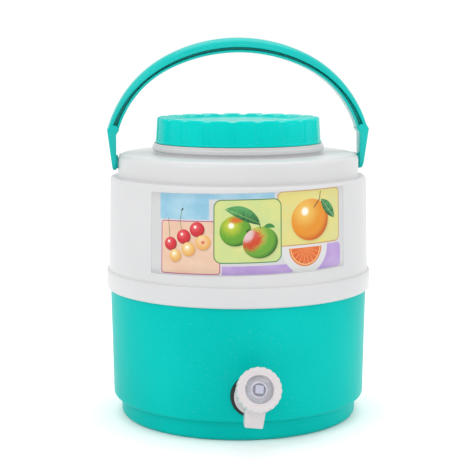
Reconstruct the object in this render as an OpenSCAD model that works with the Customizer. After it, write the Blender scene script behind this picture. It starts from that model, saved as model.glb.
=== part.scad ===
// Insulated water jug: two moulded shells around a foamed tank, a screw lid,
// a swinging carrying handle and a push-button tap near the floor.
// Millimetres. The floor is z = 0, the jug's axis is Z, the tap faces -Y
// and the handle turns about a line along X.

/* [Shells] */
// Radius of the coloured lower shell where it enters the joint band
body_r = 128.6; // [118:0.2:156]
// Height of the underside of the joint band above the floor
lower_h = 129; // [104:1:160]
// Height of the shoulder ledge above the underside of the joint band
upper_h = 112; // [92:1:140]
// How much each shell narrows from the band to its far end
draft = 2.2; // [1:0.1:3]
// Wall of both shells
wall = 2.6; // [2.1:0.1:3.2]
// How far the lower shell stands up inside the band
socket_h = 15; // [10:1:16]
// Gap between the two shells in the band
socket_gap = 0.2; // [0.1:0.05:0.3]

/* [Foot] */
// Height of the narrower foot
foot_h = 19.7; // [16:0.5:26]
// How far the foot stands inside the shell
foot_inset = 7.7; // [5:0.1:9.5]
// Radius of the round edge under the foot
foot_round = 5; // [3:0.5:7]
// Radius of the round edge at the bottom of the shell
edge_round = 3.5; // [2:0.5:5]
// Radius of the round recess under the base
recess_r = 100; // [80:1:106]
// Depth of the recess under the base
recess_h = 4; // [3:0.5:6]
// Radius of the hole that the foam is poured through
fill_r = 9; // [6:0.5:12]

/* [Joint band] */
// Height of the band
band_h = 19.5; // [17:0.5:26]
// How far the band stands proud of the lower shell
band_proud = 3.6; // [3:0.1:5]
// How far the upper shell stands proud of the lower shell
upper_proud = 1.3; // [0.5:0.1:2]

/* [Shoulder] */
// Width of the ledge that the handle's feet stand over
ledge_w = 7.9; // [6.5:0.1:9]
// Height of the shoulder above the ledge
shoulder_h = 22; // [18:1:30]
// Radius of the shoulder's round edge
shoulder_round = 6; // [3:0.5:8]

/* [Neck] */
// Radius of the bore that water is poured in through
mouth_r = 71; // [55:0.5:76]
// Wall of the tank's neck
neck_wall = 4; // [3:0.5:5]
// Foam between the tank's neck and the upper shell's neck
neck_foam = 2.4; // [2:0.1:5]
// Height of the shell's neck under its lip
neck_h = 3; // [2:0.5:6]
// Height of the lip on the shell's neck
lip_h = 5; // [4:0.5:8]
// How far the lip stands out from the neck
lip_w = 5.5; // [4:0.5:7]
// Thickness of the tank flange that lies on the lip
flange_t = 2.4; // [2:0.2:4]
// How far the tank flange stops short of the lip's edge
flange_inset = 1.5; // [1:0.5:3]

/* [Tank] */
// Wall of the tank
tank_wall = 2.4; // [2:0.1:3]
// Thinnest foam at the tank's side, inside the shoulder
side_foam = 8.4; // [8:0.2:14]
// Foam under the tank
floor_foam = 15; // [10:1:20]
// Foam over the tank
top_foam = 13; // [8:1:18]
// Radius of the tank's round edges
tank_round = 10; // [6:1:14]
// Gap left around each block of foam
foam_gap = 0.2; // [0.1:0.05:0.4]

/* [Label] */
// Angle that the label goes round the shell
label_angle = 90; // [60:5:110]
// Height of the label
label_h = 76; // [60:1:80]
// Height of the label's middle above the top of the band
label_mid = 49.5; // [42:0.5:60]
// Thickness of the label
label_t = 0.3; // [0.2:0.05:0.5]
// How far the label is stuck on out of level, in degrees
label_tilt = 1.2; // [0:0.1:2]

/* [Lid] */
// Height of the lid
lid_h = 24.8; // [22:0.2:32]
// Wall of the lid's skirt over the thread
skirt_wall = 4.6; // [4:0.1:6]
// How much the lid narrows to its top
lid_draft = 1.5; // [0.5:0.1:2]
// Depth of the dished middle of the lid
dish_h = 3; // [2:0.5:4]
// Width of the petalled ring around the dish
petal_w = 22; // [14:1:30]
// Thickness of the lid's top
lid_top = 2.5; // [2:0.1:3]
// Number of finger panels round the lid
panels = 20; // [12:1:30]
// Depth of the strips between the panels
strip_depth = 0.8; // [0.4:0.1:1.2]
// Radius of the cutter that makes the strips
strip_r = 12; // [8:1:20]
// Angle that the strips are turned by from the line of the handle's pivots
strip_turn = 8.2; // [0:0.1:17.9]
// Thickness of the lid's gasket
gasket_t = 2.5; // [1.5:0.1:4]
// How deep the lid's inner pan stands in the mouth
pan_h = 12; // [8:0.5:16]
// Gap between the inner pan and the mouth
pan_gap = 1.2; // [0.8:0.1:2]

/* [Thread] */
// How far the lid rises in one turn
lead = 12; // [10:0.5:14]
// Height of the thread's ridge from its root
thread_h = 2.2; // [1.6:0.1:2.4]
// Width of the thread's ridge at its root
thread_w = 3.6; // [3:0.1:4.2]
// Gap between the two threads, along the radius
thread_gap = 0.4; // [0.3:0.05:0.6]
// Gap between the two threads, along the axis
thread_play = 0.5; // [0.4:0.1:0.8]

/* [Handle] */
// Height of the handle's pivots above the ledge
pivot_up = 13.8; // [11:0.2:16]
// Height of the handle's top above the pivots
handle_h = 122; // [105:1:150]
// Height of the bend at the top of each leg above the pivots
bend_up = 32; // [26:1:40]
// Width of the handle strap, front to back
strap_w = 24; // [20:1:30]
// Width of the handle strap at the bends, front to back
bend_w = 21; // [18:0.5:26]
// Width of the leg at the pivot, front to back
leg_w = 16.6; // [14:0.2:19]
// Thickness of the leg's foot
leg_t = 4.6; // [3.6:0.1:6]
// Gap between the shoulder and the leg's foot
leg_gap = 1.5; // [1:0.1:2.5]
// How far the bend stands outside the foot
bend_out = 4.2; // [2:0.2:7]
// Height of the rounded crown at the top of the strap
crown_h = 6.8; // [4:0.2:8]
// Ledge left on each side of the crown by the outer flange
crown_ledge = 0.8; // [0.4:0.1:2]
// Thickness of the strap's outer flange
flange_out = 2.8; // [2:0.1:4]
// Thickness of the strap's inner flange
flange_in = 2.5; // [2:0.1:4]
// Width of the groove between the flanges at the top of the handle
groove_w = 2.5; // [1.4:0.1:3]
// Thickness of the web at the bottom of the grooves
web_t = 3; // [2:0.2:5]
// Radius of the peg that each leg turns on
peg_r = 4.05; // [3:0.05:5]
// Gap around the peg
peg_gap = 0.05; // [0.02:0.01:0.09]

/* [Tap] */
// Height of the tap's shank above the floor
tap_z = 46; // [46:0.5:60]
// How far the tap's barrel points upwards, in degrees
tap_rise = 22.4; // [12:0.2:24]
// How far the tap is turned out of plumb, in degrees
tap_roll = 6; // [0:0.5:8]
// Distance from the shank's face to the face of the ring nut
barrel_l = 47.8; // [44:0.2:56]
// Radius of the shank
shank_r = 8; // [7:0.1:9]
// Radius of the water passage through the shank
passage_r = 5.5; // [4:0.1:6]
// Clearance round the shank in the walls that it passes
shank_gap = 0.2; // [0.1:0.05:0.4]
// Radius of the black seal against the shell
seal_r = 20; // [17:0.5:22]
// Thickness of the black seal
seal_t = 3.4; // [2.4:0.1:4.5]
// Depth of the seal's pocket in the shell, behind the chord
pocket_h = 0.6; // [0.3:0.1:1]
// Radius of the bowl that the ring nut screws on to
bowl_r = 18.4; // [17.5:0.1:19]
// Wall of the bowl
bowl_wall = 2.2; // [1.8:0.1:2.6]
// Wall of the ring nut over the bowl, at the bottom of its scallops
nut_wall = 1.5; // [1.2:0.1:3.5]
// Thickness of the ring nut, front to back
nut_t = 12; // [9:0.5:14]
// Number of scallops round the ring nut
scallops = 22; // [16:1:36]
// Height of the scallops
scallop_h = 0.7; // [0.4:0.1:1]
// Radius of the window in the ring nut
window_r = 13; // [11.5:0.1:13.5]
// Side of the square push button
button_w = 7.4; // [6:0.1:8]
// Travel of the push button
push = 3.5; // [2:0.1:4]
// Width of the spout where it leaves the bowl
spout_w = 20; // [17:0.5:22]
// Width of the spout at its mouth
spout_mouth_w = 17; // [15:0.5:18]
// Distance from the shank's axis down to the spout's mouth
spout_drop = 21; // [20.5:0.5:29]

/* [Hidden] */
$fn = 96;

teal = "#00B8AC";
lid_teal = "#00D2C6";
white = "#E2E2E2";

// Heights of the stack, from the floor up
z_ledge = lower_h + upper_h;
z_top = z_ledge + shoulder_h;
z_lip = z_top + neck_h;
z_rim = z_lip + lip_h;
z_flange = z_rim + flange_t;
lid_rest = 0.3;
z_lid = z_flange + lid_rest;
z_lid_top = z_lid + lid_h;
z_ceiling = z_lid_top - dish_h - lid_top;
z_neck = z_ceiling - gasket_t;

// Radii of the shells
edge_r = body_r - draft;
foot_r = edge_r - foot_inset;
band_r = body_r + band_proud;
upper_r = body_r + upper_proud;
upper_top_r = upper_r - draft;
shoulder_r = upper_top_r - ledge_w;
tube_r = mouth_r + neck_wall;
neck_r = tube_r + neck_foam + wall;
lip_r = neck_r + lip_w;
z_band = lower_h + band_h;

// The tank
tank_r = shoulder_r - wall - side_foam;
tank_z = recess_h + wall + floor_foam;
tank_top = z_top - wall - top_foam;

// Corner points from angle a0 to a1 on a circle of radius r
function arc(x, y, r, a0, a1, n = 6) =
    [for (i = [0:n]) let (a = a0 + (a1 - a0) * i / n) [x + r * cos(a), y + r * sin(a)]];

// Radius of the lower shell's outside at height z
function shell_r(z) = edge_r + draft * (z - foot_h) / (lower_h - foot_h);

module turned(points) {
    rotate_extrude() polygon(points);
}

// ---- Tap frames ----

wall_at_tap = shell_r(tap_z);
seat_y = sqrt(wall_at_tap * wall_at_tap - seal_r * seal_r) - pocket_h;
face_y = seat_y + seal_t;
boss_y = seat_y - wall - 1.4;
pad_in_y = tank_r - tank_wall - 2.5;
hole_r = shank_r + shank_gap;

// Children are drawn round the shank: -Y is out of the jug
module at_shank() {
    translate([0, 0, tap_z]) rotate([0, tap_roll, 0]) children();
}

// Children are drawn round the barrel: +Z runs out along it from the face of the seal
module at_barrel() {
    at_shank() translate([0, -face_y, 0]) rotate([90 - tap_rise, 0, 0]) children();
}

// A cylinder along the shank from y0 to y1, both measured outwards from the jug's axis
module shank_rod(r, y0, y1) {
    translate([0, -y0, 0]) rotate([90, 0, 0]) cylinder(r = r, h = y1 - y0);
}

// ---- Shells ----

// The plug's head lies flush in a step round the hole that the foam is poured through
plug_head_r = fill_r + 4;
plug_head_t = wall / 2;

module lower_shell() {
    outer = concat([[recess_r, 0]],
        arc(foot_r - foot_round, foot_round, foot_round, -90, 0),
        [[foot_r, foot_h]],
        arc(edge_r - edge_round, foot_h + edge_round, edge_round, -90, 0),
        [[body_r, lower_h], [body_r, lower_h + socket_h]]);
    inner = [[body_r - wall, lower_h + socket_h], [body_r - wall, lower_h],
        [edge_r - wall, foot_h + wall], [foot_r - wall, foot_h + wall],
        [foot_r - wall, foot_round], [foot_r - foot_round, wall], [recess_r + wall, wall],
        [recess_r + wall, recess_h + wall], [0, recess_h + wall], [0, recess_h],
        [recess_r, recess_h]];
    color(teal) difference() {
        union() {
            turned(concat(outer, inner));
            intersection() {
                at_shank() shank_rod(seal_r + 4, boss_y, wall_at_tap);
                translate([0, 0, foot_h]) cylinder(r = wall_at_tap - wall / 2, h = lower_h - foot_h);
            }
        }
        at_shank() shank_rod(seal_r + 0.4, seat_y, wall_at_tap + wall);
        at_shank() shank_rod(hole_r, boss_y - 1, wall_at_tap + wall);
        translate([0, 0, recess_h - 1]) cylinder(r = plug_head_r + foam_gap, h = plug_head_t + 1);
        translate([0, 0, recess_h]) cylinder(r = fill_r, h = wall + 1);
    }
}

// The boss inside each side of the shoulder that a handle peg turns in
pivot_z = z_ledge + pivot_up;
boss_in = tank_r + 0.6;
boss_r = peg_r + 4;
peg_end = boss_in + 2;

module pivot_rod(r, x0, x1) {
    translate([x0, 0, pivot_z]) rotate([0, 90, 0]) cylinder(r = r, h = x1 - x0);
}

module both_sides() {
    children();
    mirror([1, 0, 0]) children();
}

module upper_shell() {
    in_r = body_r + socket_gap;
    outer = concat([[in_r, lower_h]],
        arc(band_r - 3, lower_h + 3, 3, -90, 0),
        arc(band_r - 2.3, z_band - 2.3, 2.3, 0, 90),
        [[upper_r, z_band]],
        arc(upper_top_r - 3.5, z_ledge - 3.5, 3.5, 0, 90),
        [[shoulder_r, z_ledge]],
        arc(shoulder_r - shoulder_round, z_top - shoulder_round, shoulder_round, 0, 90),
        [[neck_r + 2, z_top + 0.6], [neck_r, z_top + 1.6], [neck_r, z_lip]],
        arc(lip_r - 2, z_lip + 2, 2, -90, 0),
        [[lip_r, z_rim - 1], [lip_r - 1, z_rim]]);
    inner = [[neck_r - wall, z_rim], [neck_r - wall, z_top - wall],
        [shoulder_r - shoulder_round, z_top - wall],
        [shoulder_r - wall, z_top - shoulder_round],
        [shoulder_r - wall, z_ledge - wall], [upper_top_r - wall - 1, z_ledge - wall],
        [upper_top_r - wall, z_ledge - wall - 1], [upper_r - wall, z_band],
        [upper_r - wall, lower_h + socket_h + 2], [in_r, lower_h + socket_h + 0.5]];
    color(white) difference() {
        union() {
            turned(concat(outer, inner));
            both_sides() pivot_rod(boss_r, boss_in, shoulder_r - wall / 2);
        }
        both_sides() pivot_rod(peg_r + peg_gap, peg_end - 0.5, shoulder_r + 1);
    }
}

// ---- Tank and foam ----

// Ridge of a right-hand thread: r0 is its buried side and r1 its crest
module thread(r0, r1, z0, a0, a1) {
    steps = ceil((a1 - a0) / 6);
    crest = thread_w - 1.6;
    rings = [for (i = [0:steps])
        let (a = a0 + (a1 - a0) * i / steps, z = z0 + lead * a / 360)
        for (p = [[r0, -thread_w / 2], [r1, -crest / 2], [r1, crest / 2], [r0, thread_w / 2]])
            [p[0] * cos(a), p[0] * sin(a), z + p[1]]];
    side = (r1 > r0) ? 1 : -1;
    quads = [for (i = [0:steps - 1], j = [0:3])
        [4 * i + j, 4 * i + (j + 1) % 4, 4 * i + 4 + (j + 1) % 4, 4 * i + 4 + j]];
    ends = [[3, 2, 1, 0], [for (j = [0:3]) 4 * steps + j]];
    faces = concat(quads, ends);
    polyhedron(rings, [for (f = faces) side > 0 ? f : [for (k = [3:-1:0]) f[k]]]);
}

thread_z = z_flange + 2.2 + thread_w / 2;
crest_r = tube_r + thread_h;
skirt_in = crest_r + thread_gap;
lid_thread_drop = thread_w + thread_play;

module inner_tank() {
    outer = concat([[0, tank_z]],
        arc(tank_r - tank_round, tank_z + tank_round, tank_round, -90, 0),
        arc(tank_r - tank_round, tank_top - tank_round, tank_round, 0, 90),
        [[tube_r, tank_top], [tube_r, z_rim], [lip_r - flange_inset, z_rim],
        [lip_r - flange_inset, z_flange], [tube_r, z_flange], [tube_r, z_neck]]);
    ir = tank_round - tank_wall;
    inner = concat([[mouth_r, z_neck], [mouth_r, tank_top - tank_wall]],
        arc(tank_r - tank_round, tank_top - tank_round, ir, 90, 0),
        arc(tank_r - tank_round, tank_z + tank_round, ir, 0, -90),
        [[0, tank_z + tank_wall]]);
    color(white) difference() {
        union() {
            turned(concat(outer, inner));
            thread(tube_r - 0.6, crest_r, thread_z, 0, 330);
            at_shank() shank_rod(hole_r + 5, pad_in_y, boss_y - 0.2);
        }
        at_shank() shank_rod(hole_r, pad_in_y - 1, boss_y + 1);
    }
}

module insulation_foam() {
    g = foam_gap;
    side = shoulder_r - wall - g;
    outer = [[0, recess_h + wall + g], [recess_r + wall + g, recess_h + wall + g],
        [foot_r - wall - g, foot_round + wall], [foot_r - wall - g, foot_h + wall + g],
        [edge_r - wall - g, foot_h + wall + g], [body_r - wall - g, lower_h],
        [body_r - wall - g, lower_h + socket_h],
        [upper_top_r - wall - g - 1, z_ledge - wall - g], [side, z_ledge - wall - g],
        [side, z_top - shoulder_round - g], [shoulder_r - shoulder_round - g, z_top - wall - g],
        [neck_r - wall - g, z_top - wall - g], [neck_r - wall - g, z_rim - g]];
    inner = concat([[tube_r + g, z_rim - g], [tube_r + g, tank_top + g]],
        arc(tank_r - tank_round, tank_top - tank_round, tank_round + g, 90, 0),
        arc(tank_r - tank_round, tank_z + tank_round, tank_round + g, 0, -90),
        [[0, tank_z - g]]);
    color("#F3E9C8") difference() {
        turned(concat(outer, inner));
        at_shank() shank_rod(hole_r + 5 + g, pad_in_y, boss_y + 1);
        at_shank() shank_rod(seal_r + 4 + g, boss_y - g, wall_at_tap + wall);
        both_sides() pivot_rod(boss_r + g, boss_in - 1, shoulder_r + 1);
    }
}

module fill_plug() {
    color(teal) translate([0, 0, recess_h]) union() {
        cylinder(r = plug_head_r, h = plug_head_t);
        cylinder(r = fill_r - foam_gap / 2, h = wall);
    }
}

module label() {
    mid = z_band + label_mid;
    z0 = mid - label_h / 2;
    slope = draft / (z_ledge - 3.5 - z_band);
    lo = 3;
    function wall_r(z) = upper_r - slope * (z - z_band);
    za = z0 - lo;
    zb = z0 + label_h + lo;
    color("#BFE0F0") intersection() {
        rotate([0, 0, -90 - label_angle / 2]) rotate_extrude(angle = label_angle)
            polygon([[wall_r(za), za], [wall_r(za) + label_t, za],
                [wall_r(zb) + label_t, zb], [wall_r(zb), zb]]);
        translate([0, 0, mid]) rotate([0, -label_tilt, 0])
            cube([3 * body_r, 3 * body_r, label_h], center = true);
    }
}

// ---- Lid ----

lid_r = skirt_in + skirt_wall;
lid_top_r = lid_r - lid_draft;
dish_r = lid_top_r - petal_w;
lean = atan(lid_draft / lid_h);

module lid_cap() {
    outer = concat([[skirt_in, z_lid], [lid_r + 0.5, z_lid], [lid_r + 0.5, z_lid + 2],
        [lid_r - 0.2, z_lid + 2.6]],
        arc(lid_top_r - 2.5, z_lid_top - 2.5, 2.5, 0, 90),
        [[dish_r + 3, z_lid_top], [dish_r, z_lid_top - dish_h], [0, z_lid_top - dish_h]]);
    inner = [[0, z_ceiling], [skirt_in, z_ceiling]];
    color(lid_teal) difference() {
        union() {
            turned(concat(outer, inner));
            thread(skirt_in + 0.6, skirt_in - thread_h, thread_z - lid_thread_drop, 110, 400);
        }
        for (i = [0:panels - 1]) rotate([0, 0, 360 * i / panels + strip_turn]) {
            translate([lid_r + strip_r - strip_depth, 0, z_lid + 2.6]) rotate([0, -lean, 0])
                cylinder(r = strip_r, h = lid_h + 2);
            translate([dish_r + 2, 0, z_lid_top + strip_r - 1.3]) rotate([0, 90, 0])
                cylinder(r = strip_r, h = petal_w + 4);
        }
    }
}

pan_r = mouth_r - pan_gap;
pan_wall = 1.8;

module lid_pan() {
    zb = z_ceiling - pan_h;
    color(white) turned([[0, zb], [pan_r - 2, zb], [pan_r, zb + 2], [pan_r, z_ceiling],
        [pan_r - pan_wall, z_ceiling], [pan_r - pan_wall, zb + pan_wall], [0, zb + pan_wall]]);
}

module lid_foam() {
    r = pan_r - pan_wall - foam_gap;
    zb = z_ceiling - pan_h + pan_wall + foam_gap;
    color("#F3E9C8") translate([0, 0, zb]) cylinder(r = r, h = z_ceiling - foam_gap - zb);
}

module lid_gasket() {
    lap = 0.4;
    color("#D8D8D0") translate([0, 0, z_neck]) difference() {
        cylinder(r = tube_r + lap, h = gasket_t);
        translate([0, 0, -1]) cylinder(r = mouth_r - pan_gap / 2, h = gasket_t + 2);
    }
}

// ---- Handle ----

foot_in = shoulder_r + leg_gap;
foot_out = foot_in + leg_t;
bend_x = foot_out + bend_out;
bend_z = pivot_z + bend_up;
apex_z = pivot_z + handle_h;

// A rail is a flat-topped arch: a wide arc of radius r under the height top, then on each side a
// tighter arc that leaves it at the angle split and runs down to the point [xe, ze].
split = 26.4;
function tighten(top, r, xe, ze) = let (h = ze - top + r)
    (r * r - xe * xe - h * h) / (2 * (r - xe * sin(split) - h * cos(split)));

// The rail's point at u: 0 is the top, 1 is where the arcs meet and 2 is the foot of the arch
function rail(top, r, xe, ze, u) =
    let (k = tighten(top, r, xe, ze),
        cx = k * sin(split),
        cz = top - r + k * cos(split),
        a_end = asin((ze - cz) / (r - k)),
        v = abs(u),
        a = 90 - split - (90 - split - a_end) * (v - 1))
    v <= 1 ? [r * sin(split * u), top - r + r * cos(split * u)]
           : [sign(u) * (cx + (r - k) * cos(a)), cz + (r - k) * sin(a)];

arch_r = (bend_x * bend_x + pow(apex_z - bend_z, 2)) / (2 * (apex_z - bend_z)) * 1.118;
flange_top = apex_z - crown_h;
inner_top = flange_top - flange_out - groove_w - flange_in;
bend_t = 11.4;
flange_step = 1.5;
flange_draft = 0.25;
// How far the leg's corner block stands outside the end of the strap that is buried in it
bury = 0.5;

function crown_at(u) = rail(apex_z, arch_r, bend_x + 0.2, bend_z, u);
function outer_at(u) = rail(flange_top, arch_r + 2.4, bend_x - 1.6, bend_z, u);
function inner_at(u) = rail(inner_top, arch_r - 0.6, bend_x - bend_t, bend_z + 1, u);

// Half outline of the strap's section, as [distance outside the inner rail, distance from the
// handle's mid-plane], from the inner face round to the top of the crown. Every point is further
// out than the one before, so that a cap made of strips across the section stays flat.
function half_section(flange, crown, w) = concat(
    [[0, w / 2 - flange_step], [flange_in - flange_draft, w / 2 - flange_step],
        [flange_in, web_t / 2], [flange - flange_out, web_t / 2],
        [flange - flange_out + flange_draft, w / 2], [flange - flange_draft, w / 2]],
    [for (i = [0:6]) [flange + (crown - flange) * sin(15 * i), (w / 2 - crown_ledge) * cos(15 * i)]]);

module strap() {
    steps = 25;
    us = [for (i = [-steps:steps]) 2 * i / steps];
    rings = [for (u = us)
        let (p = inner_at(u), f = outer_at(u), c = crown_at(u),
            n = (c - p) / norm(c - p),
            w = strap_w - (strap_w - bend_w) * u * u / 4,
            half = half_section(norm(f - p), norm(c - p), w),
            last = len(half) - 1)
        [for (q = concat(half, [for (i = [last - 1:-1:0]) [half[i][0], -half[i][1]]]))
            [p[0] + n[0] * q[0], q[1], p[1] + n[1] * q[0]]]];
    count = len(rings[0]);
    points = [for (ring = rings) each ring];
    sides = [for (i = [0:2 * steps - 1], j = [0:count - 1])
        let (j2 = (j + 1) % count)
        [count * i + j, count * (i + 1) + j, count * (i + 1) + j2, count * i + j2]];
    // Each cap is made of flat strips from one side of the section to the other
    strips = [for (j = [0:(count - 3) / 2]) j < (count - 3) / 2
        ? [j, j + 1, count - 2 - j, count - 1 - j] : [j, j + 1, j + 2]];
    last_ring = 2 * steps * count;
    ends = [for (strip = strips) each [strip,
        [for (j = [len(strip) - 1:-1:0]) last_ring + strip[j]]]];
    polyhedron(points, concat(sides, ends), convexity = 6);
}

module leg() {
    bottom = pivot_z - leg_w / 2;
    half = bend_w / 2 + bury;
    intersection() {
        rotate([90, 0, 0]) linear_extrude(height = strap_w, center = true)
            polygon([[foot_in, bottom], [foot_out - 0.8, bottom], [foot_out, bottom + 4],
                [bend_x + bury, bend_z], [bend_x - 1.8, bend_z + 4],
                [bend_x - bend_t + 2.8, bend_z + 4], [bend_x - bend_t - bury, bend_z],
                [foot_in + 0.4, bend_z - 5]]);
        rotate([90, 0, 90]) linear_extrude(height = 2 * body_r)
            polygon(concat(arc(0, pivot_z, leg_w / 2, 180, 360, 12), [[half, bend_z],
                [half - 1, bend_z + 6], [1 - half, bend_z + 6], [-half, bend_z]]));
    }
    pivot_rod(leg_w / 2 - 1.5, foot_in - leg_gap + 0.5, foot_in + 1);
    pivot_rod(peg_r, peg_end, foot_in + 1);
}

module handle() {
    color("#00C6BA") union() {
        strap();
        both_sides() leg();
    }
}

// ---- Tap ----

back_s = 21;
bowl_s = 26;
nut_s = barrel_l - nut_t;
nut_gap = 0.1;
nut_r = bowl_r + nut_gap + nut_wall;
valley_r = 1.3;
bowl_end = barrel_l - 4;
port_r = 4.2;
barrel_r = 10.5;
chamber_r = barrel_r - 2.5;
// Start of the valve chamber along the barrel, just clear of the plane of the seal's face
chamber_s = chamber_r * tan(tap_rise) + 0.2;
// Length of the full-width bore in the spout, below the step where it meets the bowl
spout_bore_l = spout_drop - 8;

module spout_solid() {
    y0 = face_y + 20;
    depth = 15;
    at_shank() translate([0, -y0, 0]) intersection() {
        rotate([90, 0, 0]) linear_extrude(height = depth)
            polygon([[-spout_w / 2, 4], [spout_w / 2, 4], [spout_mouth_w / 2, -spout_drop + 1.5],
                [spout_mouth_w / 2 - 1.5, -spout_drop], [1.5 - spout_mouth_w / 2, -spout_drop],
                [-spout_mouth_w / 2, -spout_drop + 1.5]]);
        rotate([90, 0, 90]) linear_extrude(height = 2 * spout_w, center = true)
            polygon([[0, 4], [-depth, 4], [-depth + 1, -spout_drop], [-1, -spout_drop]]);
    }
}

module tap_body() {
    color(white) difference() {
        union() {
            at_shank() shank_rod(shank_r, pad_in_y - 12, face_y + 1);
            at_shank() shank_rod(seal_r - 3, face_y, face_y + 3);
            difference() {
                at_barrel() union() {
                    cylinder(r = barrel_r, h = bowl_s + 1);
                    translate([0, 0, bowl_s - 3]) cylinder(r1 = 11, r2 = bowl_r, h = 6);
                    translate([0, 0, bowl_s + 3]) cylinder(r = bowl_r, h = bowl_end - bowl_s - 3);
                }
                at_shank() shank_rod(seal_r, face_y - barrel_r, face_y);
            }
            spout_solid();
        }
        at_shank() shank_rod(passage_r, pad_in_y - 13, face_y + chamber_s + 3);
        at_barrel() translate([0, 0, chamber_s]) cylinder(r = chamber_r, h = back_s - chamber_s);
        at_barrel() translate([0, 0, chamber_s]) cylinder(r = port_r, h = bowl_end);
        at_barrel() translate([0, 0, bowl_s + 2]) cylinder(r = bowl_r - bowl_wall, h = bowl_end);
        at_shank() translate([0, -face_y - 27.5, -spout_drop]) union() {
            translate([0, 0, -1]) cylinder(r = passage_r, h = spout_bore_l + 1);
            cylinder(r = passage_r - 0.8, h = spout_drop + 4);
        }
    }
}

module tap_outer_seal() {
    color("#151515") at_shank() difference() {
        shank_rod(seal_r, seat_y, face_y);
        shank_rod(shank_r + 0.05, seat_y - 1, face_y + 1);
    }
}

inner_seal_t = 2.5;

module tap_inner_seal() {
    color("#151515") at_shank() difference() {
        shank_rod(shank_r + 5.5, pad_in_y - inner_seal_t, pad_in_y);
        shank_rod(shank_r + 0.05, pad_in_y - inner_seal_t - 1, pad_in_y + 1);
    }
}

module tap_lock_nut() {
    thick = 7;
    y1 = pad_in_y - inner_seal_t;
    color(white) at_shank() difference() {
        translate([0, -y1 + thick, 0]) rotate([90, 0, 0]) cylinder(r = shank_r + 6, h = thick, $fn = 6);
        shank_rod(shank_r + 0.05, y1 - thick - 1, y1 + 1);
    }
}

module tap_ring_nut() {
    crest_r = nut_r + scallop_h;
    color("#F0EEEE") at_barrel() difference() {
        translate([0, 0, nut_s]) cylinder(r = crest_r, h = nut_t);
        for (i = [0:scallops - 1]) rotate([0, 0, 360 * i / scallops])
            translate([nut_r + valley_r, 0, nut_s - 1]) cylinder(r = valley_r, h = nut_t + 2);
        translate([0, 0, nut_s - 1]) cylinder(r = bowl_r + nut_gap, h = barrel_l - 3 - nut_s + 1);
        translate([0, 0, nut_s]) cylinder(r = window_r, h = nut_t + 1);
    }
}

head_r = button_w / sqrt(2) + 0.2;

module tap_diaphragm() {
    rim = bowl_end;
    color("#D9D3D8") at_barrel() difference() {
        union() {
            translate([0, 0, rim]) cylinder(r = bowl_r - 0.4, h = 1);
            translate([0, 0, rim + 0.6]) cylinder(r1 = window_r - 0.6, r2 = head_r + 1.5, h = 1.6);
        }
        translate([0, 0, rim - 1.4]) cylinder(r1 = window_r - 0.6, r2 = head_r + 0.6, h = 2.6);
        translate([0, 0, rim - 2]) cylinder(r = head_r + 0.35, h = 6);
    }
}

stem_r = 2.2;

module tap_plunger() {
    color("#E6E4E8") at_barrel() union() {
        translate([0, 0, back_s - 7]) cylinder(r = stem_r, h = bowl_end - back_s + 7);
        translate([0, 0, bowl_end - 3]) cylinder(r = head_r, h = 4.5);
        translate([-button_w / 2, -button_w / 2, bowl_end]) cube([button_w, button_w, 3.7]);
    }
}

module valve_seal() {
    color("#303030") at_barrel() difference() {
        union() {
            translate([0, 0, back_s - 3]) cylinder(r = port_r + 2.6, h = 2);
            translate([0, 0, back_s - 1]) cylinder(r1 = port_r + 2.6, r2 = port_r + 1.2, h = 1);
            translate([0, 0, back_s - 5]) cylinder(r = stem_r + 1.6, h = 2.2);
        }
        translate([0, 0, back_s - 8]) cylinder(r = stem_r, h = 10);
    }
}

lower_shell();
upper_shell();
inner_tank();
insulation_foam();
fill_plug();
label();
lid_cap();
lid_pan();
lid_foam();
lid_gasket();
handle();
tap_body();
tap_outer_seal();
tap_inner_seal();
tap_lock_nut();
tap_ring_nut();
tap_diaphragm();
tap_plunger();
valve_seal();
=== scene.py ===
# %% [markdown]
# # An insulated water jug
# The jug is a drum with a teal lower half, a white upper half, a screw lid, a bail handle and a
# push-button tap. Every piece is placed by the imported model, which is loaded here as a fixed frame.
# Sizes below are in millimetres, because that is how the mouldings were drawn, and MM turns them
# into Blender's metres.

# %% Load the frame
import bmesh
import bpy
import math
from mathutils import Matrix, Vector


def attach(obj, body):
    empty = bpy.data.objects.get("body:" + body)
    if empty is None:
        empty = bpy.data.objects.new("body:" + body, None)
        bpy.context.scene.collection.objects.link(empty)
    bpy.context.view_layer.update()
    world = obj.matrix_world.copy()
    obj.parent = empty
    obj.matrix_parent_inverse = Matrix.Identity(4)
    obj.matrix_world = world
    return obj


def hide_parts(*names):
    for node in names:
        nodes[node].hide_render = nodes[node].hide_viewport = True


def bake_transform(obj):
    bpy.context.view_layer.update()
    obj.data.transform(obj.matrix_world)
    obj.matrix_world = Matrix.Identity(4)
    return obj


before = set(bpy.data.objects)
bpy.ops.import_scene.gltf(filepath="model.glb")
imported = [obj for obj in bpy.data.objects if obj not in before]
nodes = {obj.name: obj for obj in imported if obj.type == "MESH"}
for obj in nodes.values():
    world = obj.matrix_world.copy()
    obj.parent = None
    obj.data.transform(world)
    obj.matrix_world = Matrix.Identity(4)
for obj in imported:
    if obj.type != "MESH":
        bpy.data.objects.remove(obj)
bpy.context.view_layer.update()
MM = 0.001

# %% [markdown]
# ## The camera and the room
# A product shot is taken from a little above the lid with a long lens, so that the drum's sides stay
# nearly upright. The camera stands back 1.34 m and looks down by about 8 degrees. The floor is a
# plain pale sheet under a white sky: together they give soft light from all round.

# %% Camera
CAMERA_DISTANCE = 1.340
CAMERA_HEIGHT = 0.3689
CAMERA_TURN = math.radians(5.8)
CAMERA_PITCH = math.radians(8.13)

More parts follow.
